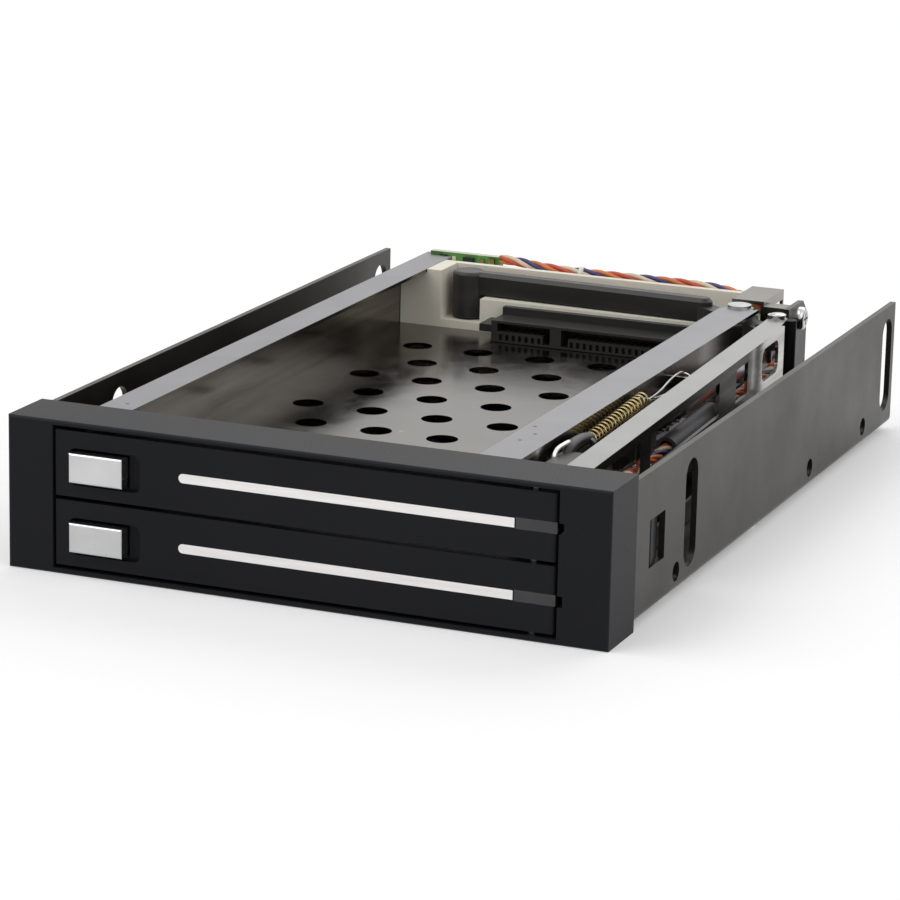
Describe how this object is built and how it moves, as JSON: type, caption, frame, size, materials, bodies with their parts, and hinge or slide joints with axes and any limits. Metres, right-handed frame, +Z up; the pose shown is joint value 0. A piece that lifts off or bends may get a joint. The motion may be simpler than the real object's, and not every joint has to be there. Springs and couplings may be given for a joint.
{
  "type": "hot swap drive cage",
  "caption": "Drive cage for a slim bay: hinged doors with push buttons, perforated trays, rear receptacles and door-driven ejector arms in an open steel chassis.",
  "frame": {"origin": "on the plane of the bezel's lower edge, under the middle of the cage with its front buttons and rear plugs", "axes": "+Z up, -Y out of the doors, +X to the right seen from the front; +Y is the cage's length"},
  "size_m": [0.1016, 0.156, 0.0254],
  "materials": {
    "black_steel": "semi-gloss black paint on steel sheet",
    "black_plastic": "fine grain moulded, near black",
    "black_gloss_plastic": "smooth black moulding",
    "nickel_sheet": "bright plated sheet with fine rolling lines",
    "steel": "plain steel",
    "dark_steel": "oiled spring steel",
    "brass": "drawn wire",
    "chrome": "satin chrome plated",
    "silver_trim": "bright silver",
    "smoky_plastic": "smoky clear",
    "ivory_plastic": "satin moulded",
    "circuit_board": "green lacquered board",
    "gold_contact": "gold plated",
    "clear_lamp": "clear epoxy",
    "wire_cover": "coloured wire covering",
    "grey_sleeve": "shrunk sleeve"
  },
  "bodies": {
    "cage": {"backplane_board": "circuit_board", "chassis_rear_tab": "black_steel", "chassis_shell": "black_steel", "data_plugs": "black_gloss_plastic", "deck_rivets": "steel", "door_hinge_pin": "steel", "ejector_pivot_pin": "steel", "front_bezel": "black_plastic", "harness_sleeve": "grey_sleeve", "kick_springs": "brass", "lamp_board": "circuit_board", "lamp_harness": "wire_cover", "lamps": "clear_lamp", "lower_connector_bracket": "ivory_plastic", "lower_deck_plate": "nickel_sheet", "lower_guide_rail": "nickel_sheet", "lower_latch_keeper": "black_gloss_plastic", "lower_left_rail": "nickel_sheet", "lower_sata_receptacle": "black_gloss_plastic", "lower_side_rail": "nickel_sheet", "power_plug": "black_gloss_plastic", "rail_post": "black_plastic", "rear_corner_bracket": "nickel_sheet", "receptacle_contacts": "gold_contact", "tab_screw": "steel", "upper_connector_bracket": "ivory_plastic", "upper_deck_plate": "nickel_sheet", "upper_guide_rail": "nickel_sheet", "upper_latch_keeper": "black_gloss_plastic", "upper_left_rail": "nickel_sheet", "upper_sata_receptacle": "black_gloss_plastic", "upper_side_rail": "nickel_sheet"},
    "upper_door": {"upper_door_panel": "black_plastic", "upper_trim_strip": "silver_trim", "upper_light_pipe": "smoky_plastic", "upper_latch_cover": "black_plastic"},
    "upper_button": {"upper_button_cap": "chrome", "upper_button_stem": "black_gloss_plastic", "upper_button_spring": "steel"},
    "upper_link": {"upper_link_head": "black_gloss_plastic", "upper_link_bar": "steel", "upper_link_shoe": "black_gloss_plastic", "upper_return_spring": "brass", "upper_link_spring": "dark_steel"},
    "upper_ejector": {"upper_ejector_arm": "black_gloss_plastic"},
    "lower_door": {"lower_door_panel": "black_plastic", "lower_trim_strip": "silver_trim", "lower_light_pipe": "smoky_plastic", "lower_latch_cover": "black_plastic"},
    "lower_button": {"lower_button_cap": "chrome", "lower_button_stem": "black_gloss_plastic", "lower_button_spring": "steel"},
    "lower_link": {"lower_link_head": "black_gloss_plastic", "lower_link_bar": "steel", "lower_link_shoe": "black_gloss_plastic", "lower_return_spring": "brass", "lower_link_spring": "dark_steel"},
    "lower_ejector": {"lower_ejector_arm": "black_gloss_plastic"}
  },
  "joints": [
    {"name": "upper_door_hinge", "type": "hinge", "parent": "cage", "child": "upper_door", "pos_m": [0.03781, -0.0746, 0.0182], "axis": [0, 0, 1], "range_deg": [0, 90]},
    {"name": "upper_button_push", "type": "slide", "parent": "upper_door", "child": "upper_button", "axis": [0, 1, 0], "range_m": [0, 0.0018], "stiffness_N_per_m": 400, "deforming": ["upper_button_spring"]},
    {"name": "upper_link_slide", "type": "slide", "parent": "cage", "child": "upper_link", "axis": [0, 1, 0], "range_m": [0, 0.00169], "deforming": ["upper_return_spring", "upper_link_spring"]},
    {"name": "upper_ejector_swing", "type": "hinge", "parent": "cage", "child": "upper_ejector", "pos_m": [0.027, 0.0541, 0.0204], "axis": [0, 0, 1], "range_deg": [0, 9]},
    {"name": "lower_door_hinge", "type": "hinge", "parent": "cage", "child": "lower_door", "pos_m": [0.03781, -0.0746, 0.00685], "axis": [0, 0, 1], "range_deg": [0, 90]},
    {"name": "lower_button_push", "type": "slide", "parent": "lower_door", "child": "lower_button", "axis": [0, 1, 0], "range_m": [0, 0.0018], "stiffness_N_per_m": 400, "deforming": ["lower_button_spring"]},
    {"name": "lower_link_slide", "type": "slide", "parent": "cage", "child": "lower_link", "axis": [0, 1, 0], "range_m": [0, 0.00169], "deforming": ["lower_return_spring", "lower_link_spring"]},
    {"name": "lower_ejector_swing", "type": "hinge", "parent": "cage", "child": "lower_ejector", "pos_m": [0.027, 0.0541, 0.0098], "axis": [0, 0, 1], "range_deg": [0, 9]}
  ],
  "couplings": [
    {"joint": "upper_link_slide", "follows": "upper_door_hinge", "m_per_rad": 0.001078},
    {"joint": "upper_ejector_swing", "follows": "upper_door_hinge", "ratio": 0.1},
    {"joint": "lower_link_slide", "follows": "lower_door_hinge", "m_per_rad": 0.001078},
    {"joint": "lower_ejector_swing", "follows": "lower_door_hinge", "ratio": 0.1}
  ]
}
